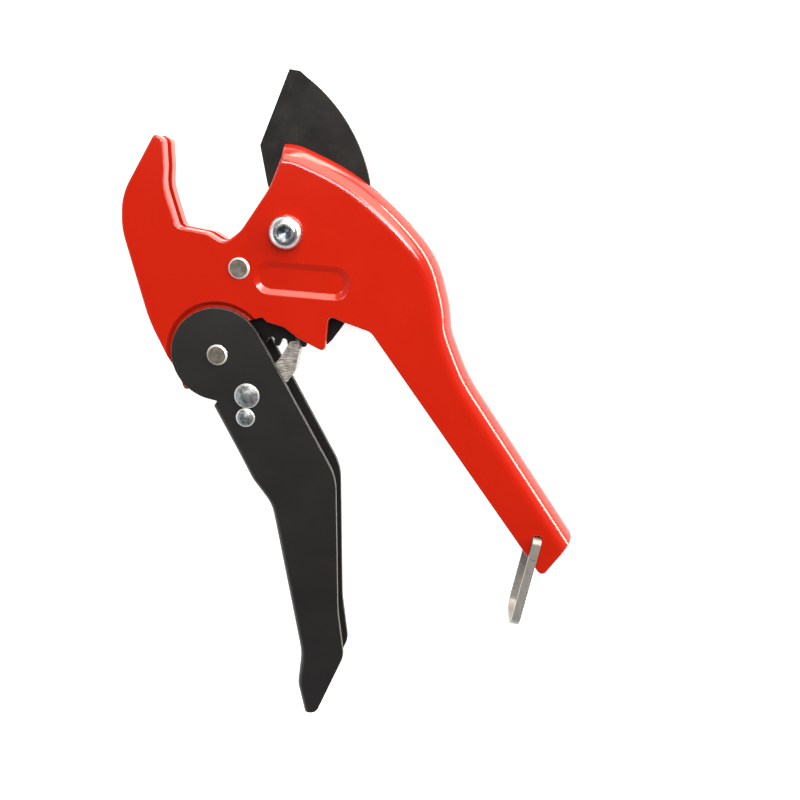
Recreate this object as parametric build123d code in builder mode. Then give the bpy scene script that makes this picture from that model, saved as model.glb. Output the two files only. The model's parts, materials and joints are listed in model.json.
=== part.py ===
from build123d import *
import os
from math import cos, radians, sin, sqrt

# Ratchet pipe cutter for plastic pipe up to 42 mm, lying on its side.
#
# Frame: millimetres. X runs from the jaw towards the handle, Y points from the
# handles towards the blade's tip, Z is the tool's thickness. The origin is on the
# blade pivot's axis, at the end face of its nut, which is the lowest point.

os.makedirs("parts", exist_ok=True)

# ---- driving dimensions -------------------------------------------------
# Heights through the thickness
NUT_H = 3.2
SPLIT_WASHER_H = 1.2
FLAT_WASHER_H = 0.8
BODY_W = 14.5
BODY_LOW = NUT_H + SPLIT_WASHER_H + FLAT_WASHER_H
BODY_TOP = BODY_LOW + BODY_W
MID = (BODY_LOW + BODY_TOP) / 2

SLOT_W = 4.4             # gap that the blade runs in
POCKET_W = 9.5           # wider hollow for the pawl's nose, and the handle's channel
LOBE_W = 7.0             # hollow round the lever pivot, for the return spring
RECESS = 1.6             # step on both faces that the lever's cheeks sit in
BLADE_T = 3.0
LEVER_GAP = 11.9         # between the lever's cheeks
LEVER_T = 2.0            # lever sheet thickness
LEVER_W = LEVER_GAP + 2 * LEVER_T
LEVER_BEND = 2.4         # outer radius of the bends between web and cheeks
PAWL_T = 1.5             # pawl sheet thickness
PAWL_NOSE_W = 6.6
PAWL_EAR_W = 11.4
STRAP_T = 1.2
STRAP_WIDTH = 3.3
STRAP_GAP = 16.7
STRAP_END_R = 1.85       # hole that the strap's two ends turn in
STRAP_END_DEPTH = 2.0    # how far each end reaches into the body

# Axes in the plane of the tool
BLADE_PIVOT = (0.0, 0.0)
LEVER_PIVOT = (-27.1, -44.7)
PAWL_PIVOT = (-16.6, -60.2)
SPRING_ANCHOR = (-17.5, -68.6)
STOP_PIN = (-17.6, -12.8)
STRAP_HOLE = (93.1, -115.2)

# Radii
SCREW_R = 3.0
BUSH_R = 5.0
HUB_R = 12.4
LEVER_PIN_R = 3.0
PIN_HEAD_R = 3.9
PIN_HEAD_BEVEL = 0.65
STOP_PIN_R = 3.2
PAWL_RIVET_R = 2.5
ANCHOR_RIVET_R = 2.0
RUNNING_FIT = 0.05       # radial clearance of every turning fit
FIXED_FIT = 0.02         # radial clearance of every riveted or screwed fit

TOOTH_TIP_R = 42.5
TOOTH_ROOT_R = 39.6
TOOTH_PITCH = 6.8        # degrees
FIRST_TOOTH = -84.3      # angle of the tooth that the pawl pushes first
TEETH_BEFORE = 1
TEETH_AFTER = 12
RING_R = 27.0            # inner radius of the toothed ring's free end
BLADE_SWEEP_R = 44.1     # slot radius that the ring turns in
TIP_SWEEP_R = 56.5       # slot radius that the blade's tip turns in

DISK_R = 17.4            # lever's round head
RECESS_R = 18.6
RECESS_SLOPE = 1.3       # how far the recess's wall slopes out
LOBE_R = 13.0            # body round the lever pivot, under the lever's head
SPINE_ROUND = 7.0        # the spine is almost a half round
EDGE_ROUND = 0.7
LOWER_ROUND = 0.5        # edges along the handle's underside and the hook
PANEL_DEPTH = 0.8        # plain oblong panel sunk in the near face
PANEL_SIZE = (35.4, 12.2)
PANEL_SPOT = (5.2, -17.2)
PANEL_TURN = -4.5
PANEL_SLOPE = 70         # degrees that the panel's wall leans out
END_ROUND = 2.5          # outer corner of the handle's end


def polar(centre, radius, angle):
    """The point at a radius and an angle in degrees round a centre."""
    return (centre[0] + radius * cos(radians(angle)), centre[1] + radius * sin(radians(angle)))


def band(width):
    """The plane a slab of this width starts from, centred in the thickness."""
    return Plane.XY.offset(MID - width / 2)


def rounded(corners):
    """A closed outline from corners (x, y, radius)."""
    FilletPolyline(*[(x, y) for x, y, _ in corners], radius=[r for _, _, r in corners], close=True)


def finish(part, name):
    part.label = name
    export_step(part, f"parts/{name}.step")


# ---- body: jaw, head and fixed handle -----------------------------------
JAW_TIP = [(-45.7, 34.3, 1.5), (-42.8, 32.0, 2.0)]
MOUTH = [(-42.8, 23.0, 20), (-43.6, 16.5, 15), (-39.8, 1.8, 2.5), (-28.5, -0.3, 6),
         (-22.8, -4.0, 4), (-16.6, 0.4, 12), (-5.2, 16.0, 30), (-0.7, 26.5, 6)]
SPINE = [(-0.7, 30.8, 0), (4.0, 30.8, 18), (24.5, 21.3, 75), (42.5, 5.0, 140),
         (54.3, -9.0, 38), (58.9, -27.0, 42), (59.3, -35.5, 22), (66.0, -53.0, 60)]
HANDLE_END = [(107.0, -115.2, 0), (95.5, -130.8, 2.0)]
LOWER_EDGE = [(30.0, -35.8, 4), (19.5, -32.0, 4), (14.6, -30.0, 1.5), (12.9, -43.4, 1.4),
              (3.0, -38.3, 8), (-2.0, -34.3, 5), (-8.2, -32.5, 1.5), (-10.0, -30.7, 1.0),
              (-15.5, -32.3, 2), (-22.0, -40.0, 0), (-31.0, -55.0, 0), (-33.0, -58.4, 1)]
JAW_BACK = [(-40.7, -58.4, 1.5), (-52.3, -32.9, 60), (-60.2, 1.2, 25), (-59.2, 13.0, 22)]

with BuildSketch() as body_outline:
    with BuildLine():
        rounded(JAW_TIP + MOUTH + SPINE + HANDLE_END + LOWER_EDGE + JAW_BACK)
    make_face()
    with Locations(LEVER_PIVOT):
        Circle(LOBE_R)

# Slot that the blade turns in, open along the mouth and the front of the spine
with BuildSketch() as blade_slot:
    Circle(BLADE_SWEEP_R)
    with BuildLine():
        tip_start = polar(BLADE_PIVOT, TIP_SWEEP_R, 75)
        tip_end = polar(BLADE_PIVOT, TIP_SWEEP_R, 183)
        Line(BLADE_PIVOT, tip_start)
        RadiusArc(tip_start, tip_end, -TIP_SWEEP_R)
        Line(tip_end, BLADE_PIVOT)
    make_face()
    with BuildLine():
        rounded([(-40.0, 30.0, 0), (-46.0, 40.0, 0), (-62.0, 31.0, 0), (-51.2, 22.8, 0)])
    make_face()

# Hollow for the pawl's nose under the head, and the channel in the handle
with BuildSketch() as nose_pocket:
    with BuildLine():
        rounded([(-16.0, -29.0, 2), (22.0, -29.0, 2), (22.0, -52.0, 0), (-16.0, -52.0, 0)])
    make_face()
    Circle(TOOTH_ROOT_R - 4.0, mode=Mode.SUBTRACT)
with BuildSketch() as handle_channel:
    with BuildLine():
        rounded([(30.0, -33.0, 4), (55.0, -22.0, 5), (56.4, -36.1, 20), (63.4, -54.2, 50),
                 (102.6, -113.6, 2), (94.6, -124.4, 1), (90.0, -132.0, 0), (24.0, -39.0, 0)])
    make_face()
with BuildSketch() as spring_room:
    with Locations(LEVER_PIVOT):
        Circle(10.5)
    with BuildLine():
        rounded([(-37.4, -44.7, 0), (-16.8, -44.7, 0), (-19.0, -62.0, 0), (-33.5, -62.0, 0)])
    make_face()

with BuildPart() as body:
    with BuildSketch(Plane.XY.offset(BODY_LOW)):
        add(body_outline.sketch)
    extrude(amount=BODY_W)
    for near_point, radius in (((40.0, 8.0), SPINE_ROUND), ((-50.0, -38.0), EDGE_ROUND),
                               ((60.0, -79.2), LOWER_ROUND)):
        rims = [body.edges().sort_by_distance((*near_point, height))[0]
                for height in (BODY_LOW, BODY_TOP)]
        fillet(rims, radius)
    with BuildSketch(band(SLOT_W)):
        add(blade_slot.sketch)
    extrude(amount=SLOT_W, mode=Mode.SUBTRACT)
    with BuildSketch(band(POCKET_W)):
        add(nose_pocket.sketch)
        add(handle_channel.sketch)
    extrude(amount=POCKET_W, mode=Mode.SUBTRACT)
    with BuildSketch(band(LOBE_W)):
        add(spring_room.sketch)
    extrude(amount=LOBE_W, mode=Mode.SUBTRACT)
    for start in (BODY_LOW, BODY_TOP - RECESS):
        with BuildSketch(Plane.XY.offset(start)):
            with Locations(LEVER_PIVOT):
                Circle(RECESS_R)
        extrude(amount=RECESS, mode=Mode.SUBTRACT)
    for face_height, way in ((BODY_LOW, -1), (BODY_TOP, 1)):
        with BuildSketch(Plane.XY.offset(face_height)):
            with Locations(LEVER_PIVOT):
                Circle(RECESS_R + RECESS_SLOPE)
        extrude(amount=-way * RECESS_SLOPE, taper=45, mode=Mode.SUBTRACT)
    with BuildSketch(Plane.XY.offset(BODY_TOP)):
        with Locations(Location(PANEL_SPOT, PANEL_TURN)):
            SlotOverall(*PANEL_SIZE)
    extrude(amount=-PANEL_DEPTH, taper=PANEL_SLOPE, mode=Mode.SUBTRACT)
    with BuildSketch(Plane.XY.offset(BODY_LOW)):
        with Locations(HANDLE_END[0][:2]):
            Circle(END_ROUND)
        with BuildLine():
            rounded([SPINE[-1], (*HANDLE_END[0][:2], END_ROUND), HANDLE_END[1], LOWER_EDGE[0]])
        make_face(mode=Mode.SUBTRACT)
    extrude(amount=BODY_W, mode=Mode.SUBTRACT)
    with Locations((*BLADE_PIVOT, MID)):
        Cylinder(SCREW_R + RUNNING_FIT, BODY_W + 2, mode=Mode.SUBTRACT)
    with Locations((*LEVER_PIVOT, MID)):
        Cylinder(LEVER_PIN_R + FIXED_FIT, BODY_W + 2, mode=Mode.SUBTRACT)
    with Locations((*STOP_PIN, MID)):
        Cylinder(STOP_PIN_R + FIXED_FIT, BODY_W + 2, mode=Mode.SUBTRACT)
    with Locations((*STRAP_HOLE, MID)):
        Cylinder(STRAP_END_R, BODY_W + 2, mode=Mode.SUBTRACT)
finish(body.part, "body")

# ---- blade with its toothed ring ----------------------------------------
BLADE_CUTTING_SIDE = [(1.6, 55.7), (-9.8, 30.2), (-7.3, 16.5)]
BLADE_BACK = [(30.0, 8.0), (29.0, -4.0), (26.3, -15.0), (22.8, -25.0), (20.2, -32.9),
              (14.6, -40.2)]
WEB_SIDE = -134.4        # angle of the ring's web beside the stop pin
RING_END = -172.0
BEVEL_DEPTH = 8.5        # width of the ground bevel along the cutting edge
BEVEL_RUN_IN = 6.0       # how far the grinding runs past the blade's tip
BEVEL_RUN_OUT = 13.0     # and past the lower end of the cutting edge
EDGE_FLAT = 0.3          # thickness left at the cutting edge

with BuildSketch() as blade_outline:
    with BuildLine():
        web_foot = polar(BLADE_PIVOT, HUB_R - 1, WEB_SIDE)
        web_top = polar(BLADE_PIVOT, RING_R, WEB_SIDE)
        ring_inner = polar(BLADE_PIVOT, RING_R, RING_END)
        ring_outer = polar(BLADE_PIVOT, TOOTH_TIP_R, RING_END)
        ring_start = polar(BLADE_PIVOT, TOOTH_TIP_R + 0.4, -71.5)
        Polyline(*BLADE_CUTTING_SIDE, (-5.5, 10.0), BLADE_PIVOT, web_foot, web_top)
        RadiusArc(web_top, ring_inner, RING_R)
        Line(ring_inner, ring_outer)
        ThreePointArc(ring_outer, polar(BLADE_PIVOT, TOOTH_TIP_R, -120), ring_start)
        Polyline(ring_start, *reversed(BLADE_BACK), (29.5, 17.6))
        Spline((29.5, 17.6), (27.0, 26.7), (20.0, 40.2), (7.7, 53.0))
        Polyline((7.7, 53.0), (5.4, 55.0), (1.6, 55.7))
    make_face()
    Circle(HUB_R)
    # rounded gaps between the teeth, steep on the side that the pawl pushes
    for step in range(-TEETH_BEFORE, TEETH_AFTER):
        gap = FIRST_TOOTH - (step + 0.5) * TOOTH_PITCH
        with Locations(polar(BLADE_PIVOT, TOOTH_ROOT_R + 1.2, gap)):
            Circle(1.2, mode=Mode.SUBTRACT)
        with BuildLine():
            rounded([(*polar(BLADE_PIVOT, TOOTH_ROOT_R + 1.2, gap - 1.6), 0),
                     (*polar(BLADE_PIVOT, TOOTH_ROOT_R + 1.2, gap + 1.6), 0),
                     (*polar(BLADE_PIVOT, TOOTH_TIP_R + 2.0, gap + 2.9), 0),
                     (*polar(BLADE_PIVOT, TOOTH_TIP_R + 2.0, gap - 3.3), 0)])
        make_face(mode=Mode.SUBTRACT)
    Circle(BUSH_R + RUNNING_FIT, mode=Mode.SUBTRACT)

edge_start, edge_end = (Vector(*point) for point in BLADE_CUTTING_SIDE[:2])
edge_run = (edge_end - edge_start).normalized()
with BuildPart() as blade:
    with BuildSketch(band(BLADE_T)):
        add(blade_outline.sketch)
    extrude(amount=BLADE_T)
    # the bevel: one wedge ground off each side of the edge
    for side in (1, -1):
        across = Plane(origin=(*BLADE_CUTTING_SIDE[0], MID), x_dir=(-edge_run.Y, edge_run.X, 0),
                       z_dir=(edge_run.X, edge_run.Y, 0))
        with BuildSketch(across.offset(-BEVEL_RUN_IN)):
            with BuildLine():
                up = side if across.y_dir.Z > 0 else -side
                Polyline((-3, up * EDGE_FLAT / 2), (0, up * EDGE_FLAT / 2),
                         (BEVEL_DEPTH, up * BLADE_T / 2), (BEVEL_DEPTH, up * 4), (-3, up * 4),
                         close=True)
            make_face()
        ground_length = (edge_end - edge_start).length + BEVEL_RUN_IN + BEVEL_RUN_OUT
        extrude(amount=ground_length, mode=Mode.SUBTRACT)
finish(blade.part, "blade")

# ---- blade pivot: bush, shims, screw, washers, nut ----------------------
SCREW_HEAD_R = 6.1
SCREW_HEAD_H = 4.2
SCREW_RIM_H = 1.4        # straight side of the head, under the dome
SCREW_TIP = 0.4          # how far the screw's end stops short of the nut's face
SOCKET_R = 2.9
SOCKET_DEPTH = 2.6
SOCKET_POINT = 0.9       # depth of the drill point under the socket
NUT_FLATS = 10.0
SPLIT_WASHER_R = 4.7
FLAT_WASHER_R = 6.0
WASHER_PLAY = 0.1

with BuildPart() as blade_bush:
    with Locations((*BLADE_PIVOT, MID)):
        Cylinder(BUSH_R, SLOT_W - 0.1)
        Cylinder(SCREW_R + RUNNING_FIT, SLOT_W, mode=Mode.SUBTRACT)
finish(blade_bush.part, "blade_bush")

for name, side in (("blade_shim_front", 1), ("blade_shim_back", -1)):
    shim_t = (SLOT_W - BLADE_T) / 2 - 0.08
    with BuildPart() as shim:
        with Locations((*BLADE_PIVOT, MID + side * (BLADE_T / 2 + 0.04 + shim_t / 2))):
            Cylinder(HUB_R - 1.4, shim_t)
            Cylinder(BUSH_R + RUNNING_FIT, shim_t, mode=Mode.SUBTRACT)
    finish(shim.part, name)

screw_top = BODY_TOP + SCREW_HEAD_H
dome_foot = (SCREW_HEAD_R, BODY_TOP + SCREW_RIM_H)
dome_top = (SOCKET_R + 0.4, screw_top)
with BuildPart() as pivot_screw:
    with BuildSketch(Plane.XZ):
        with BuildLine():
            Polyline((0, SCREW_TIP), (SCREW_R - SCREW_TIP, SCREW_TIP), (SCREW_R, 2 * SCREW_TIP),
                     (SCREW_R, BODY_TOP), (SCREW_HEAD_R, BODY_TOP), dome_foot)
            ThreePointArc(dome_foot, (5.2, BODY_TOP + 3.2), dome_top)
            Polyline(dome_top, (0, screw_top), (0, SCREW_TIP))
        make_face()
    revolve(axis=Axis.Z)
    with BuildSketch(Plane.XY.offset(screw_top - SOCKET_DEPTH)):
        RegularPolygon(SOCKET_R, 6, rotation=30)
    extrude(amount=SOCKET_DEPTH, mode=Mode.SUBTRACT)
    with Locations((0, 0, screw_top - SOCKET_DEPTH)):
        Cone(0, SOCKET_R * 0.85, SOCKET_POINT, align=(Align.CENTER, Align.CENTER, Align.MAX),
             mode=Mode.SUBTRACT)
finish(pivot_screw.part, "pivot_screw")

nut_corner_r = NUT_FLATS / sqrt(3)
nut_face_r = NUT_FLATS / 2 - 0.1
nut_slope_h = (nut_corner_r - nut_face_r) / sqrt(3)
with BuildPart() as pivot_nut:
    with BuildSketch():
        RegularPolygon(NUT_FLATS / 2, 6, major_radius=False)
    extrude(amount=NUT_H)
    # the corners of both faces are turned off by a 30 degree cone
    with BuildSketch(Plane.XZ):
        with BuildLine():
            Polyline((0, 0), (nut_face_r, 0), (nut_corner_r, nut_slope_h),
                     (nut_corner_r, NUT_H - nut_slope_h), (nut_face_r, NUT_H), (0, NUT_H),
                     close=True)
        make_face()
    revolve(axis=Axis.Z, mode=Mode.INTERSECT)
    Cylinder(SCREW_R + FIXED_FIT, 3 * NUT_H, mode=Mode.SUBTRACT)
finish(pivot_nut.part, "pivot_nut")

with BuildPart() as split_washer:
    with BuildSketch(Plane.XY.offset(NUT_H)):
        Circle(SPLIT_WASHER_R)
        Circle(SCREW_R + WASHER_PLAY, mode=Mode.SUBTRACT)
        with Locations(Location((SPLIT_WASHER_R - 0.7, 0), 20)):
            Rectangle(4, 0.7, mode=Mode.SUBTRACT)      # the slanting split
    extrude(amount=SPLIT_WASHER_H)
finish(split_washer.part, "split_washer")

with BuildPart() as flat_washer:
    with BuildSketch(Plane.XY.offset(NUT_H + SPLIT_WASHER_H)):
        Circle(FLAT_WASHER_R)
        Circle(SCREW_R + WASHER_PLAY, mode=Mode.SUBTRACT)
    extrude(amount=FLAT_WASHER_H)
finish(flat_washer.part, "flat_washer")


# ---- rivets and pins ----------------------------------------------------
def flat_rivet(centre, shank_r, grip, head_h):
    """A pin through both walls with a low bevelled head on each end."""
    head_r = PIN_HEAD_R
    bevel = PIN_HEAD_BEVEL
    with BuildPart() as rivet:
        with BuildSketch(Plane(origin=(*centre, MID), x_dir=(1, 0, 0), z_dir=(0, -1, 0))):
            with BuildLine():
                Polyline((0, 0), (shank_r, 0), (shank_r, grip / 2), (head_r, grip / 2),
                         (head_r, grip / 2 + head_h - bevel), (head_r - bevel, grip / 2 + head_h),
                         (0, grip / 2 + head_h), close=True)
            make_face()
        revolve(axis=Axis((*centre, 0), (0, 0, 1)))
        mirror(about=Plane.XY.offset(MID))
    return rivet.part


def dome_rivet(centre, shank_r, head_r, head_h, grip):
    """A pin through both cheeks with a domed head on each end."""
    rim = 0.3
    rise = head_h - rim
    foot = grip / 2
    sphere_r = (head_r ** 2 + rise ** 2) / (2 * rise)
    half_way = sqrt(sphere_r ** 2 - (head_r / 2) ** 2) - sphere_r + rise
    with BuildPart() as rivet:
        with BuildSketch(Plane(origin=(*centre, MID), x_dir=(1, 0, 0), z_dir=(0, -1, 0))):
            with BuildLine():
                Polyline((0, foot + head_h), (0, 0), (shank_r, 0), (shank_r, foot),
                         (head_r, foot), (head_r, foot + rim))
                ThreePointArc((head_r, foot + rim), (head_r / 2, foot + rim + half_way),
                              (0, foot + head_h))
            make_face()
        revolve(axis=Axis((*centre, 0), (0, 0, 1)))
        mirror(about=Plane.XY.offset(MID))
    return rivet.part


finish(flat_rivet(STOP_PIN, STOP_PIN_R, BODY_W, 0.8), "stop_pin")
finish(flat_rivet(LEVER_PIVOT, LEVER_PIN_R, LEVER_W + 0.1, 0.8), "lever_pivot_pin")
finish(dome_rivet(PAWL_PIVOT, PAWL_RIVET_R, 4.75, 1.8, LEVER_W), "pawl_rivet")
finish(dome_rivet(SPRING_ANCHOR, ANCHOR_RIVET_R, 3.6, 1.5, LEVER_W), "spring_anchor_rivet")

with BuildPart() as lever_pivot_sleeve:
    with Locations((*LEVER_PIVOT, MID)):
        Cylinder(4.0, LOBE_W - 0.1)
        Cylinder(LEVER_PIN_R + RUNNING_FIT, LOBE_W, mode=Mode.SUBTRACT)
finish(lever_pivot_sleeve.part, "lever_pivot_sleeve")

with BuildPart() as pawl_spacer:
    with Locations((*PAWL_PIVOT, MID)):
        Cylinder(3.4, PAWL_EAR_W - 2 * PAWL_T - 0.2)
        Cylinder(PAWL_RIVET_R + RUNNING_FIT, PAWL_EAR_W, mode=Mode.SUBTRACT)
finish(pawl_spacer.part, "pawl_spacer")


# ---- springs: close-wound coils with two straight legs ------------------
def torsion_spring(centre, wire, mean_r, turns, legs):
    """legs: (angle where the leg leaves the coil, its direction, its length, its height)."""
    height = turns * wire
    with BuildPart() as spring:
        with BuildSketch(Plane(origin=(*centre, MID), x_dir=(1, 0, 0), z_dir=(0, -1, 0))):
            with Locations(*[(mean_r, (turn + 0.5) * wire - height / 2) for turn in range(turns)]):
                Circle(wire / 2)
            with Locations((mean_r, 0)):
                Rectangle(wire * 0.7, height - wire * 0.5)
        revolve(axis=Axis((*centre, 0), (0, 0, 1)))
        for angle, direction, length, level in legs:
            run = (cos(radians(direction)), sin(radians(direction)), 0)
            start = polar(polar(centre, mean_r, angle), -wire, direction)
            with BuildSketch(Plane(origin=(*start, MID + level), z_dir=run)):
                Circle(wire / 2)
            extrude(amount=length)
    return spring.part


finish(torsion_spring(LEVER_PIVOT, 1.25, 5.2, 5, [(190, 100, 8, 2.5), (195.5, -74.5, 19.7, -2.5)]),
       "return_spring")
finish(torsion_spring(PAWL_PIVOT, 1.0, 4.3, 6, [(-17.7, -107.7, 11, -2.5), (-63, 27, 14, 2.5)]),
       "pawl_spring")

# ---- lever: pressed channel with two cheeks and a web -------------------
LEVER_RIGHT = [(*polar(LEVER_PIVOT, DISK_R, 27), 0), (16.2, -91.6, 22), (16.0, -148.0, 60),
               (18.0, -167.5, 8), (6.2, -193.8, 3.6)]
LEVER_LEFT = [(1.2, -193.8, 0), (-1.2, -181.0, 12), (0.7, -167.2, 24), (-7.9, -111.2, 16),
              (-9.2, -103.6, 16), (-16.2, -93.6, 18), (-20.9, -83.4, 30), (-29.9, -64.8, 0),
              (-28.0, -62.4, 0.3),
              (*polar(LEVER_PIVOT, DISK_R, -103), 0)]

with BuildSketch() as lever_outline:
    with BuildLine():
        rounded([(*LEVER_PIVOT, 0)] + LEVER_RIGHT + LEVER_LEFT)
    make_face()
    with Locations(LEVER_PIVOT):
        Circle(DISK_R)
with BuildSketch() as lever_inside:
    with BuildLine():
        rounded([(-60, -20, 0), (50, -20, 0), (50, -200, 0), (4.1, -200, 0),
                 (3.2, -190.0, 0), (0.9, -181.0, 10), (2.8, -167.2, 22), (-5.9, -111.0, 14),
                 (-7.3, -102.7, 14), (-14.4, -92.6, 16), (-19.1, -82.4, 28),
                 (-28.6, -62.8, 0), (-60, -50.0, 0)])
    make_face()

with BuildPart() as lever:
    with BuildSketch(band(LEVER_W)):
        add(lever_outline.sketch)
    extrude(amount=LEVER_W)
    for height in (MID - LEVER_W / 2, MID + LEVER_W / 2):
        long_edge = lever.edges().sort_by_distance((-3.0, -135.0, height))[0]
        fillet(long_edge, LEVER_BEND)
    with BuildSketch(band(LEVER_GAP)):
        add(lever_inside.sketch)
    extrude(amount=LEVER_GAP, mode=Mode.SUBTRACT)
    with Locations((*LEVER_PIVOT, MID)):
        Cylinder(LEVER_PIN_R + RUNNING_FIT, LEVER_W + 2, mode=Mode.SUBTRACT)
    with Locations((*PAWL_PIVOT, MID)):
        Cylinder(PAWL_RIVET_R + FIXED_FIT, LEVER_W + 2, mode=Mode.SUBTRACT)
    with Locations((*SPRING_ANCHOR, MID)):
        Cylinder(ANCHOR_RIVET_R + FIXED_FIT, LEVER_W + 2, mode=Mode.SUBTRACT)
finish(lever.part, "lever")

# ---- pawl: stamped channel, wide ears at the pivot, narrow nose ---------
PAWL_EYE_R = 4.8
NOSE_TOP = [(-0.6, -40.3, 0.6), (2.9, -40.3, 0.5)]
NOSE_SIDE = [(1.0, -51.6, 1.5), (-3.0, -56.6, 1.0)]
PAWL_BACK = [(-7.2, -49.6, 2.0), (-4.4, -46.2, 1.5)]
JOGGLE = 12.5            # distance from the pivot where the ears step in
JOGGLE_T = 1.6

nose_way = (cos(radians(41.8)), sin(radians(41.8)), 0)
with BuildSketch() as pawl_outline:
    with BuildLine():
        rounded(NOSE_TOP + NOSE_SIDE + [(*polar(PAWL_PIVOT, PAWL_EYE_R, -62), 0),
                                        (*PAWL_PIVOT, 0),
                                        (*polar(PAWL_PIVOT, PAWL_EYE_R, 118), 0)] + PAWL_BACK)
    make_face()
    with Locations(PAWL_PIVOT):
        Circle(PAWL_EYE_R)
with BuildSketch() as pawl_web:
    with BuildLine():
        rounded([(1.4, -43.1, 0), (2.9, -43.1, 0), (1.0, -51.6, 1.5), (-3.0, -56.6, 0.4),
                 (-4.2, -55.6, 0.4), (-0.4, -50.9, 1.0)])
    make_face()
ear_zone = Plane(origin=(*PAWL_PIVOT, MID), x_dir=nose_way, z_dir=(0, 0, 1))


def pawl_slab(width, start, stop):
    """The pawl's outline between two distances from its pivot, this wide."""
    with BuildPart() as slab:
        with BuildSketch(band(width)):
            add(pawl_outline.sketch)
        extrude(amount=width)
        with BuildSketch(ear_zone.offset(-width / 2)):
            with Locations(((start + stop) / 2, 0)):
                Rectangle(stop - start, 40)
        extrude(amount=width, mode=Mode.INTERSECT)
    return slab.part


far = 40.0
pawl_shape = (pawl_slab(PAWL_EAR_W, -far, JOGGLE)
              - pawl_slab(PAWL_EAR_W - 2 * PAWL_T, -far, JOGGLE - JOGGLE_T)
              + pawl_slab(PAWL_NOSE_W, JOGGLE - JOGGLE_T, far)
              - pawl_slab(PAWL_NOSE_W - 2 * PAWL_T, -far, far))
with BuildPart() as pawl:
    add(pawl_shape)
    with BuildSketch(band(PAWL_NOSE_W)):
        add(pawl_web.sketch)
    extrude(amount=PAWL_NOSE_W)
    with Locations((*PAWL_PIVOT, MID)):
        Cylinder(PAWL_RIVET_R + RUNNING_FIT, PAWL_EAR_W + 2, mode=Mode.SUBTRACT)
finish(pawl.part, "pawl")

# ---- lock strap: flat strip bent to a stirrup through the handle --------
STRAP_LENGTH = 36.8
STRAP_ANGLE = -102.1
STRAP_BEND = 5.0
STRAP_END_BEND = 1.6
strap_way = (cos(radians(STRAP_ANGLE)), sin(radians(STRAP_ANGLE)), 0)
across_strap = Plane(origin=(*STRAP_HOLE, MID), x_dir=strap_way,
                     z_dir=(strap_way[1], -strap_way[0], 0))
strap_side = (STRAP_GAP + STRAP_T) / 2
strap_end = BODY_W / 2 - STRAP_END_DEPTH
with BuildPart() as lock_strap:
    with BuildSketch(across_strap.offset(-STRAP_WIDTH / 2)):
        with BuildLine():
            FilletPolyline((0, -strap_end), (0, -strap_side), (STRAP_LENGTH, -strap_side),
                           (STRAP_LENGTH, strap_side), (0, strap_side), (0, strap_end),
                           radius=[STRAP_END_BEND, STRAP_BEND, STRAP_BEND, STRAP_END_BEND])
        trace(line_width=STRAP_T)
    extrude(amount=STRAP_WIDTH)
finish(lock_strap.part, "lock_strap")
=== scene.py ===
import json
import math

import bpy
from mathutils import Matrix, Vector


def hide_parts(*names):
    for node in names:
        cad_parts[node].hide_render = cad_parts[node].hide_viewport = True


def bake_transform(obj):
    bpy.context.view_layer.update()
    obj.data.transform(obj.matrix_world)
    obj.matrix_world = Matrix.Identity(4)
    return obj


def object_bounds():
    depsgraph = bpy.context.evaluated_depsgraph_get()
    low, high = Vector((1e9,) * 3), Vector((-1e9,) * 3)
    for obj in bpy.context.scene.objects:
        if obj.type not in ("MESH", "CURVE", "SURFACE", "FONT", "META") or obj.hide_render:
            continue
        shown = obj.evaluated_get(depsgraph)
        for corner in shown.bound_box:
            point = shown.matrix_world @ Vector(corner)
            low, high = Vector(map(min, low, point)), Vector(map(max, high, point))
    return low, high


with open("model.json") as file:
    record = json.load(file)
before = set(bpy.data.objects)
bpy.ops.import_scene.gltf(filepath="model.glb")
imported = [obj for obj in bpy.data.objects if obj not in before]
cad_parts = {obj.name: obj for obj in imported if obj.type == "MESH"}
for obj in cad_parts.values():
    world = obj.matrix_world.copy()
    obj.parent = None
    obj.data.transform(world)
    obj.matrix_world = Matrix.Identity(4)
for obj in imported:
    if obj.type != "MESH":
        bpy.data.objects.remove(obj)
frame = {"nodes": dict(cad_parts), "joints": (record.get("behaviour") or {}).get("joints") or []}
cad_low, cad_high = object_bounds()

MM = 0.001
SOCKET_R = 2.9 * MM      # corner radius of the pivot screw's socket, whose axis is the origin's


# ---- small helpers ------------------------------------------------------
def new_material(name):
    """A node material, its tree and its shader."""
    material = bpy.data.materials.new(name)
    material.use_nodes = True
    tree = material.node_tree
    return material, tree, tree.nodes["Principled BSDF"]


def node(tree, kind, inputs=None, **settings):
    """A shader node. An input is a socket to link or a value to set."""
    made = tree.nodes.new("ShaderNode" + kind)
    for key, value in settings.items():
        setattr(made, key, value)
    for key, value in (inputs or {}).items():
        if isinstance(value, bpy.types.NodeSocket):
            tree.links.new(value, made.inputs[key])
        else:
            made.inputs[key].default_value = value
    return made


def settle(tree, shader, inputs):
    """Sets or links the shader's own sockets."""
    for key, value in inputs.items():
        if isinstance(value, bpy.types.NodeSocket):
            tree.links.new(value, shader.inputs[key])
        else:
            shader.inputs[key].default_value = value


def place(tree, stretch=(1, 1, 1)):
    """The point on the piece in metres, stretched so that a grain can run one way."""
    point = node(tree, "TexCoord").outputs["Object"]
    return node(tree, "Mapping", {"Vector": point, "Scale": stretch}).outputs["Vector"]


def noise(tree, point, scale, detail=3.0, roughness=0.5):
    """Noise from 0 to 1, with scale in cells per metre."""
    return node(tree, "TexNoise", {"Vector": point, "Scale": scale, "Detail": detail,
                                   "Roughness": roughness}).outputs["Fac"]


def spread(tree, value, low, high, start=0.0, end=1.0):
    """Maps value from start..end to low..high, clamped."""
    return node(tree, "MapRange", {"Value": value, "From Min": start, "From Max": end,
                                   "To Min": low, "To Max": high}).outputs["Result"]


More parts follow.
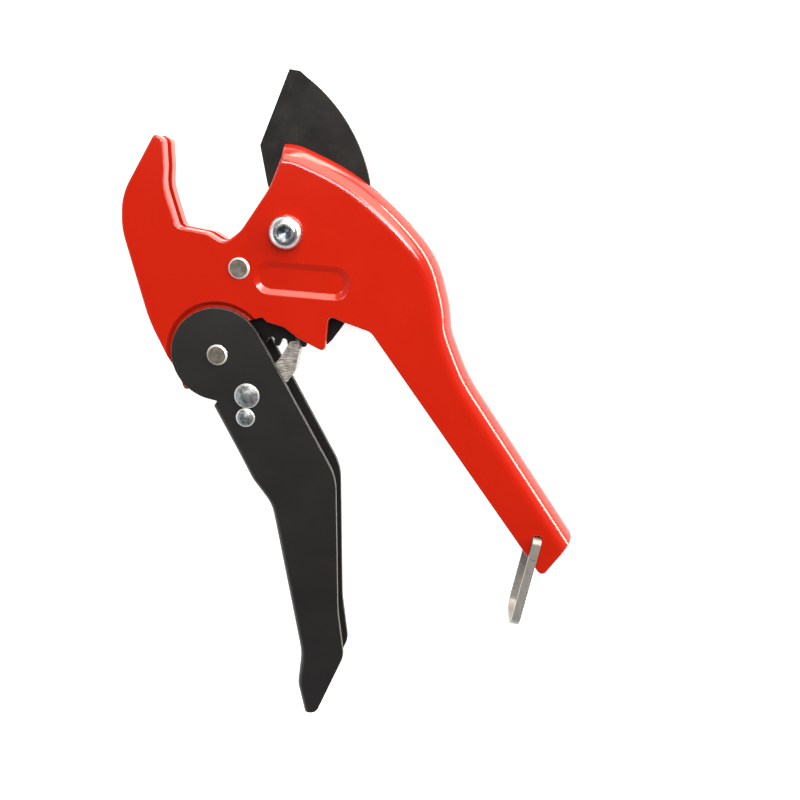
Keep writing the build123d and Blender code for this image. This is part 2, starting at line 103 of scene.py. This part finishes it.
def blend_colours(tree, share, first, second):
    """first where share is 0, second where it is 1."""
    mix = node(tree, "Mix", data_type="RGBA")
    for index, value in ((0, share), (6, first), (7, second)):
        if isinstance(value, bpy.types.NodeSocket):
            tree.links.new(value, mix.inputs[index])
        else:
            mix.inputs[index].default_value = value
    return mix.outputs[2]


def product(tree, first, second):
    return node(tree, "Math", {0: first, 1: second}, operation="MULTIPLY").outputs[0]


def rounded_normal(tree, radius):
    """A normal that turns smoothly over every edge."""
    return node(tree, "Bevel", {"Radius": radius}, samples=6).outputs["Normal"]


def edge_share(tree, rounded):
    """0 on a flat face, rising to 1 at an edge, where the rounded normal leaves the true one."""
    flat = node(tree, "NewGeometry").outputs["Normal"]
    agree = node(tree, "VectorMath", {0: rounded, 1: flat}, operation="DOT_PRODUCT").outputs["Value"]
    return spread(tree, agree, 0.0, 1.0, 0.999, 0.86)


def upward(tree):
    """1 where the surface faces straight up, 0 where it is upright."""
    normal = node(tree, "NewGeometry").outputs["Normal"]
    return node(tree, "SeparateXYZ", {0: normal}).outputs["Z"]


def bump(tree, height, distance, normal):
    """The normal, disturbed by height, which stands distance metres proud where it is 1."""
    return node(tree, "Bump", {"Height": height, "Distance": distance, "Normal": normal,
                               "Strength": 1.0}).outputs["Normal"]


# ---- materials ----------------------------------------------------------
def red_paint():
    """Glossy enamel over a casting: faint orange peel, and on the edges a brighter orange-red,
    partly thinner paint and partly a painted highlight.
    """
    material, tree, shader = new_material("red_paint_finish")
    point = place(tree)
    normal = rounded_normal(tree, 0.55 * MM)
    edge = edge_share(tree, normal)
    broad = noise(tree, point, 35, 2.0)
    body_red = blend_colours(tree, broad, (0.48, 0.011, 0.0012, 1), (0.55, 0.014, 0.0018, 1))
    # The edges are coloured a brighter orange-red, broken up by noise: partly thinner paint, partly
    # a painted highlight.
    thin_paint_and_highlight = product(tree, edge, noise(tree, point, 420, 4.0))
    colour = blend_colours(tree, spread(tree, thin_paint_and_highlight, 0, 0.6, 0.25, 0.7),
                           body_red, (0.80, 0.10, 0.05, 1))
    peel = noise(tree, point, 750, 2.0)
    dust = noise(tree, point, 2600, 1.0)
    peel_normal = bump(tree, peel, 0.012 * MM, bump(tree, dust, 0.002 * MM, normal))
    settle(tree, shader, {"Base Color": colour, "Roughness": spread(tree, broad, 0.10, 0.15),
                          "Normal": peel_normal, "Specular IOR Level": 1.0})
    return material


def black_paint():
    """Satin black powder coat on pressed steel, with a painted highlight in grey along the sheared
    edges.
    """
    material, tree, shader = new_material("black_paint_finish")
    point = place(tree)
    normal = rounded_normal(tree, 0.4 * MM)
    edge = edge_share(tree, normal)
    broad = noise(tree, point, 60, 3.0)
    base = blend_colours(tree, broad, (0.011, 0.0113, 0.0122, 1), (0.0175, 0.0178, 0.0190, 1))
    # painted highlight: the edges are coloured grey, broken up by noise, to draw light lines along
    # them.
    painted_edge_highlight = product(tree, edge, noise(tree, point, 520, 5.0))
    colour = blend_colours(tree, spread(tree, painted_edge_highlight, 0, 0.85, 0.22, 0.55),
                           base, (0.24, 0.235, 0.23, 1))
    grain = noise(tree, point, 1900, 2.0)
    settle(tree, shader, {"Base Color": colour, "Roughness": spread(tree, broad, 0.36, 0.46),
                          "Normal": bump(tree, grain, 0.006 * MM, normal),
                          "Specular IOR Level": 0.45})
    return material


def blade_steel():
    """Blackened tool steel: mottled oxide, fine grinding lines, scuffs and a cutting edge lightened
    by rubbing.
    """
    material, tree, shader = new_material("blade_steel_finish")
    point = place(tree)
    normal = rounded_normal(tree, 0.25 * MM)
    edge = edge_share(tree, normal)
    mottle = noise(tree, point, 90, 6.0, 0.62)
    oxide = blend_colours(tree, spread(tree, mottle, 0, 1, 0.35, 0.68),
                          (0.008, 0.0078, 0.0086, 1), (0.022, 0.0222, 0.0222, 1))
    scratches = noise(tree, place(tree, (1, 0.06, 1)), 2400, 2.0)
    scuffed = product(tree, spread(tree, scratches, 0, 1, 0.62, 0.72),
                      spread(tree, mottle, 0, 1, 0.5, 0.7))
    scuff_colour = blend_colours(tree, scuffed, oxide, (0.045, 0.043, 0.041, 1))
    colour = blend_colours(tree, spread(tree, edge, 0, 0.35), scuff_colour, (0.10, 0.10, 0.097, 1))
    settle(tree, shader, {"Base Color": colour, "Roughness": spread(tree, mottle, 0.44, 0.56),
                          "Specular IOR Level": 0.18,
                          "Normal": bump(tree, scratches, 0.003 * MM, normal)})
    return material


def zinc_plate():
    """Bright zinc plating: small crystals, cloudy shine, and painted shade down in the screw's
    socket.
    """
    material, tree, shader = new_material("zinc_finish")
    point = place(tree)
    normal = rounded_normal(tree, 0.18 * MM)
    edge = edge_share(tree, normal)
    cloud = noise(tree, point, 380, 5.0, 0.6)
    crystal = node(tree, "TexVoronoi", {"Vector": point, "Scale": 2600.0}).outputs["Distance"]
    colour = blend_colours(tree, cloud, (0.62, 0.64, 0.67, 1), (0.80, 0.81, 0.82, 1))
    flat = node(tree, "VectorMath", {0: point, 1: (1, 1, 0)}, operation="MULTIPLY").outputs[0]
    radius = node(tree, "VectorMath", {0: flat}, operation="LENGTH").outputs["Value"]
    # painted shade: inside the socket's corner radius the zinc is coloured a dark blue-grey.
    socket = spread(tree, radius, 1.0, 0.0, SOCKET_R * 0.80, SOCKET_R)
    painted_socket_shade = blend_colours(tree, cloud, (0.09, 0.12, 0.17, 1), (0.34, 0.40, 0.48, 1))
    colour = blend_colours(tree, socket, colour, painted_socket_shade)
    settle(tree, shader, {"Base Color": blend_colours(tree, spread(tree, edge, 0, 0.5), colour,
                                                      (0.88, 0.88, 0.88, 1)),
                          "Metallic": 1.0, "Roughness": spread(tree, cloud, 0.20, 0.34, 0.3, 0.7),
                          "Normal": bump(tree, crystal, 0.002 * MM, normal)})
    return material


def rivet_zinc():
    """Tumbled zinc on the rivets' domes: cloudy grey-blue, dull on top, with a painted highlight
    that colours the steep outer band of each dome bright.
    """
    material, tree, shader = new_material("rivet_zinc_finish")
    point = place(tree)
    normal = rounded_normal(tree, 0.25 * MM)
    cloud = noise(tree, point, 800, 6.0, 0.70)
    dull = blend_colours(tree, spread(tree, cloud, 0, 1, 0.34, 0.66),
                         (0.07, 0.075, 0.08, 1), (0.46, 0.50, 0.54, 1))
    # painted highlight: where a dome turns steeply away from straight up it is coloured near white.
    painted_rim_highlight = spread(tree, upward(tree), 1.0, 0.0, 0.835, 0.868)
    pits = noise(tree, point, 2100, 4.0)
    settle(tree, shader, {"Base Color": blend_colours(tree, painted_rim_highlight, dull, (0.86, 0.87, 0.88, 1)),
                          "Metallic": 0.75, "Roughness": spread(tree, cloud, 0.30, 0.48, 0.3, 0.7),
                          "Normal": bump(tree, pits, 0.012 * MM,
                                         bump(tree, cloud, 0.03 * MM, normal))})
    return material


def pawl_zinc():
    """Zinc plated stamping: bright rolling marks across the ears, greyer in random patches."""
    material, tree, shader = new_material("pawl_zinc_finish")
    point = place(tree)
    normal = rounded_normal(tree, 0.2 * MM)
    edge = edge_share(tree, normal)
    cloud = noise(tree, point, 300, 5.0, 0.6)
    rolled = noise(tree, place(tree, (0.12, 1, 1)), 2600, 3.0)
    light = blend_colours(tree, spread(tree, rolled, 0, 1, 0.36, 0.64),
                          (0.26, 0.25, 0.23, 1), (0.98, 0.98, 0.96, 1))
    colour = blend_colours(tree, spread(tree, cloud, 0, 0.55, 0.50, 0.66), light,
                           (0.20, 0.18, 0.16, 1))
    settle(tree, shader, {"Base Color": blend_colours(tree, edge, colour, (0.9, 0.9, 0.9, 1)),
                          "Metallic": 0.55, "Roughness": spread(tree, cloud, 0.26, 0.42),
                          "Normal": bump(tree, rolled, 0.010 * MM, normal)})
    return material


def pin_steel():
    """Turned steel pins, the faces browned by oil, with a painted highlight that colours the bevels
    and sides bright.
    """
    material, tree, shader = new_material("pin_steel_finish")
    point = place(tree)
    normal = rounded_normal(tree, 0.12 * MM)
    stain = noise(tree, point, 620, 5.0, 0.68)
    face = blend_colours(tree, spread(tree, stain, 0, 1, 0.32, 0.68),
                         (0.16, 0.145, 0.115, 1), (0.36, 0.35, 0.33, 1))
    # painted highlight: every surface tilted away from straight up, the bevels and the sides, is
    # coloured a light grey.
    painted_bevel_highlight = spread(tree, upward(tree), 1.0, 0.0, 0.90, 0.985)
    pits = noise(tree, point, 2300, 3.0)
    settle(tree, shader, {"Base Color": blend_colours(tree, painted_bevel_highlight, face, (0.74, 0.74, 0.72, 1)),
                          "Metallic": 0.6, "Roughness": spread(tree, stain, 0.24, 0.38),
                          "Normal": bump(tree, pits, 0.010 * MM, normal)})
    return material


def strap_steel():
    """Cut steel strip: grain along its length, a few dark nicks."""
    material, tree, shader = new_material("strap_steel_finish")
    point = place(tree)
    normal = rounded_normal(tree, 0.2 * MM)
    grain = noise(tree, place(tree, (1, 0.05, 1)), 3200, 3.0)
    cloud = noise(tree, point, 260, 4.0)
    colour = blend_colours(tree, grain, (0.27, 0.27, 0.26, 1), (0.50, 0.50, 0.485, 1))
    nicks = spread(tree, noise(tree, point, 520, 3.0), 0, 0.9, 0.66, 0.72)
    colour = blend_colours(tree, nicks, colour, (0.05, 0.045, 0.04, 1))
    settle(tree, shader, {"Base Color": colour, "Metallic": 0.45,
                          "Roughness": spread(tree, cloud, 0.30, 0.45),
                          "Normal": bump(tree, grain, 0.006 * MM, normal)})
    return material


def spring_steel():
    """Drawn spring wire with an oily blue-grey skin."""
    material, tree, shader = new_material("spring_steel_finish")
    point = place(tree)
    cloud = noise(tree, point, 900, 3.0)
    normal = node(tree, "NewGeometry").outputs["Normal"]
    settle(tree, shader, {"Base Color": blend_colours(tree, cloud, (0.20, 0.20, 0.21, 1),
                                                      (0.38, 0.38, 0.39, 1)),
                          "Metallic": 1.0, "Roughness": spread(tree, cloud, 0.26, 0.42),
                          "Normal": bump(tree, cloud, 0.004 * MM, normal)})
    return material


def brass():
    """Sintered brass bush, fine pores and a dull oily patina."""
    material, tree, shader = new_material("brass_finish")
    point = place(tree)
    normal = rounded_normal(tree, 0.15 * MM)
    edge = edge_share(tree, normal)
    patina = noise(tree, point, 420, 4.0)
    pores = noise(tree, point, 5200, 2.0)
    colour = blend_colours(tree, patina, (0.42, 0.27, 0.09, 1), (0.62, 0.43, 0.17, 1))
    settle(tree, shader, {"Base Color": blend_colours(tree, edge, colour, (0.78, 0.60, 0.30, 1)),
                          "Metallic": 1.0, "Roughness": spread(tree, patina, 0.30, 0.46),
                          "Normal": bump(tree, pores, 0.005 * MM, normal)})
    return material


def nylon():
    """Natural nylon shims, milky, with slight rubbing."""
    material, tree, shader = new_material("nylon_finish")
    point = place(tree)
    normal = rounded_normal(tree, 0.1 * MM)
    cloud = noise(tree, point, 300, 3.0)
    colour = blend_colours(tree, cloud, (0.66, 0.63, 0.55, 1), (0.78, 0.76, 0.69, 1))
    settle(tree, shader, {"Base Color": colour, "Roughness": spread(tree, cloud, 0.42, 0.58),
                          "Subsurface Weight": 0.15, "Subsurface Scale": 0.4 * MM,
                          "Normal": bump(tree, cloud, 0.01 * MM, normal)})
    return material


MATERIALS = {
    "red_paint": red_paint, "black_paint": black_paint, "blade_steel": blade_steel,
    "zinc": zinc_plate, "rivet_zinc": rivet_zinc, "pawl_zinc": pawl_zinc,
    "pin_steel": pin_steel, "strap_steel": strap_steel, "spring_steel": spring_steel,
    "brass": brass, "nylon": nylon,
}


def dress_nodes():
    """Gives every carried-over CAD node the finish of its material slot."""
    made = {slot: build() for slot, build in MATERIALS.items()}
    for piece in frame["nodes"].values():
        piece.data.materials[0] = made[piece.data.materials[0].name]
    return made


# ---- springs ------------------------------------------------------------
JOINTS = {joint["name"]: joint for joint in frame["joints"]}
COIL_STEPS = 160         # straight stretches that make up a spring's coil
TURN = 360


def wire_spring(name, node_name, joint, wire, mean_radius, first, last, half_height):
    """A torsion spring of real wire: a leg, a helix and a leg.

    first and last are the two ends of the helix, each as the angle in degrees where its leg meets
    the coil, the leg's length in mm, and 1 or -1 for the top or bottom of the coil. wire,
    mean_radius and half_height are in mm.
    """
    centre = Vector(JOINTS[joint]["pos_m"])
    radius = mean_radius * MM
    first_angle, last_angle = math.radians(first[0]), math.radians(last[0])
    levels = first[2] * half_height * MM, last[2] * half_height * MM
    points = []
    for step in range(COIL_STEPS + 1):
        share = step / COIL_STEPS
        angle = first_angle + (last_angle - first_angle) * share
        points.append(centre + Vector((radius * math.cos(angle), radius * math.sin(angle),
                                       levels[0] + (levels[1] - levels[0]) * share)))
    first_way = Vector((math.sin(first_angle), -math.cos(first_angle), 0))
    last_way = Vector((-math.sin(last_angle), math.cos(last_angle), 0))
    points.insert(0, points[0] + first_way * first[1] * MM)
    points.append(points[-1] + last_way * last[1] * MM)
    curve = bpy.data.curves.new(name + "_line", "CURVE")
    curve.dimensions = "3D"
    curve.bevel_depth = wire / 2 * MM
    curve.bevel_resolution = 4
    curve.use_fill_caps = True
    spline = curve.splines.new("POLY")
    spline.points.add(len(points) - 1)
    for spot, point in zip(spline.points, points):
        spot.co = (*point, 1)
    line = bpy.data.objects.new(name + "_line", curve)
    mesh = bpy.data.meshes.new_from_object(line)
    bpy.data.objects.remove(line)
    mesh.shade_smooth()
    mesh.materials.clear()
    mesh.materials.append(finishes["spring_steel"])
    piece = bpy.data.objects.new(name, mesh)
    bpy.context.scene.collection.objects.link(piece)
    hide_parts(node_name)
    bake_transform(piece)


# ---- stage --------------------------------------------------------------
FLOOR_HALF = 2.5         # half the sheet's side, in metres
FLOOR_GLOW = 0.8         # the sheet is lit from below, like a light table
HORIZON = (1.0, 1.0, 1.0, 1)
TENT = (0.24, 0.24, 0.25, 1)
DARK_PATCH = (0.07, 0.062, 0.055, 1)
PATCH_WAY = Vector((-0.05, -0.30, 0.95)).normalized()
LIGHT_DISTANCE = 0.9     # from the middle of the tool, in metres
WHITE = (1, 1, 1)
WARM = (1.0, 0.88, 0.72)
LENS_MM = 40.0
SENSOR_MM = 36
CAMERA_STAND = Vector((0.0632, 0.0215, 0.3377))
CAMERA_AIM = Vector((0.0402, -0.0628, 0.01245))


def floor():
    """A pale seamless sheet on a light table, that the tool lies on."""
    mesh = bpy.data.meshes.new("floor")
    corners = [(x * FLOOR_HALF, y * FLOOR_HALF, 0) for x, y in ((-1, -1), (1, -1), (1, 1), (-1, 1))]
    mesh.from_pydata(corners, [], [(0, 1, 2, 3)])
    sheet = bpy.data.objects.new("floor", mesh)
    bpy.context.scene.collection.objects.link(sheet)
    material, tree, shader = new_material("floor_paper")
    fibre = noise(tree, place(tree), 600, 3.0)
    settle(tree, shader, {"Base Color": blend_colours(tree, fibre, (0.90, 0.90, 0.90, 1),
                                                      (0.94, 0.94, 0.94, 1)),
                          "Roughness": 0.9, "Specular IOR Level": 0.1,
                          "Emission Color": (1, 1, 1, 1), "Emission Strength": FLOOR_GLOW})
    mesh.materials.append(material)


def studio_world():
    """A bright horizon under a grey tent, with a dark patch overhead."""
    world = bpy.data.worlds.new("studio")
    bpy.context.scene.world = world
    world.use_nodes = True
    tree = world.node_tree
    direction = node(tree, "TexCoord").outputs["Generated"]
    height = node(tree, "SeparateXYZ", {0: direction}).outputs["Z"]
    tent = blend_colours(tree, spread(tree, height, 0, 1, 0.17, 0.50), HORIZON, TENT)
    nearness = node(tree, "VectorMath", {0: direction, 1: PATCH_WAY},
                    operation="DOT_PRODUCT").outputs["Value"]
    colour = blend_colours(tree, spread(tree, nearness, 0, 1, 0.66, 0.90), tent, DARK_PATCH)
    tree.links.new(colour, tree.nodes["Background"].inputs["Color"])


def facing(back):
    """The rotation of a light or camera whose back points along back, with +Y upwards."""
    right = Vector((0, 1, 0)).cross(back).normalized()
    return Matrix((right, back.cross(right), back)).transposed().to_euler()


def softbox(name, azimuth, elevation, size, power, colour):
    """A rectangular light aimed at the tool's middle. Azimuth 0 is the +X side, 90 the +Y side."""
    light = bpy.data.lights.new(name, "AREA")
    light.color = colour
    light.shape = "RECTANGLE"
    light.size, light.size_y = size
    light.energy = power
    lamp = bpy.data.objects.new(name, light)
    bpy.context.scene.collection.objects.link(lamp)
    a, e = math.radians(azimuth), math.radians(elevation)
    back = Vector((math.cos(a) * math.cos(e), math.sin(a) * math.cos(e), math.sin(e)))
    lamp.location = (cad_low + cad_high) / 2 + back * LIGHT_DISTANCE
    lamp.rotation_euler = facing(back)


def studio_lights():
    """Strips and panels whose reflections draw the highlights along the rounded edges."""
    softbox("overhead_strip", 98, 73, (0.8, 0.04), 1.7, WHITE)
    softbox("corner_panel", 50, 62, (0.22, 0.18), 1.0, WHITE)
    softbox("front_panel", 72, 44, (0.9, 0.62), 5.8, WARM)
    softbox("low_strip", 75, 8, (1.3, 0.18), 6.0, WARM)
    softbox("right_strip", 25, 18, (0.12, 0.9), 6.4, WARM)
    softbox("left_strip", 190, 25, (0.10, 0.9), 1.0, WHITE)


def camera():
    """Looks down on the tool's face from the spine's side, tilted 15 degrees."""
    data = bpy.data.cameras.new("camera")
    data.sensor_width = SENSOR_MM
    data.lens = LENS_MM
    data.clip_start = 0.01
    view = bpy.data.objects.new("camera", data)
    bpy.context.scene.collection.objects.link(view)
    view.location = CAMERA_STAND
    view.rotation_euler = facing((CAMERA_STAND - CAMERA_AIM).normalized())
    bpy.context.scene.camera = view


finishes = dress_nodes()
wire_spring("return_spring_wire", "return_spring", "lever_pivot", wire=1.22, mean_radius=5.2,
            first=(190, 8, 1), last=(195.5 + 4 * TURN, 19.7, -1), half_height=2.5)
wire_spring("pawl_spring_wire", "pawl_spring", "pawl_pivot", wire=0.98, mean_radius=4.3,
            first=(-17.7, 11, -1), last=(-63 + 5 * TURN, 14, 1), half_height=2.5)
floor()
studio_world()
studio_lights()
camera()
bpy.context.scene.view_settings.view_transform = "Standard"
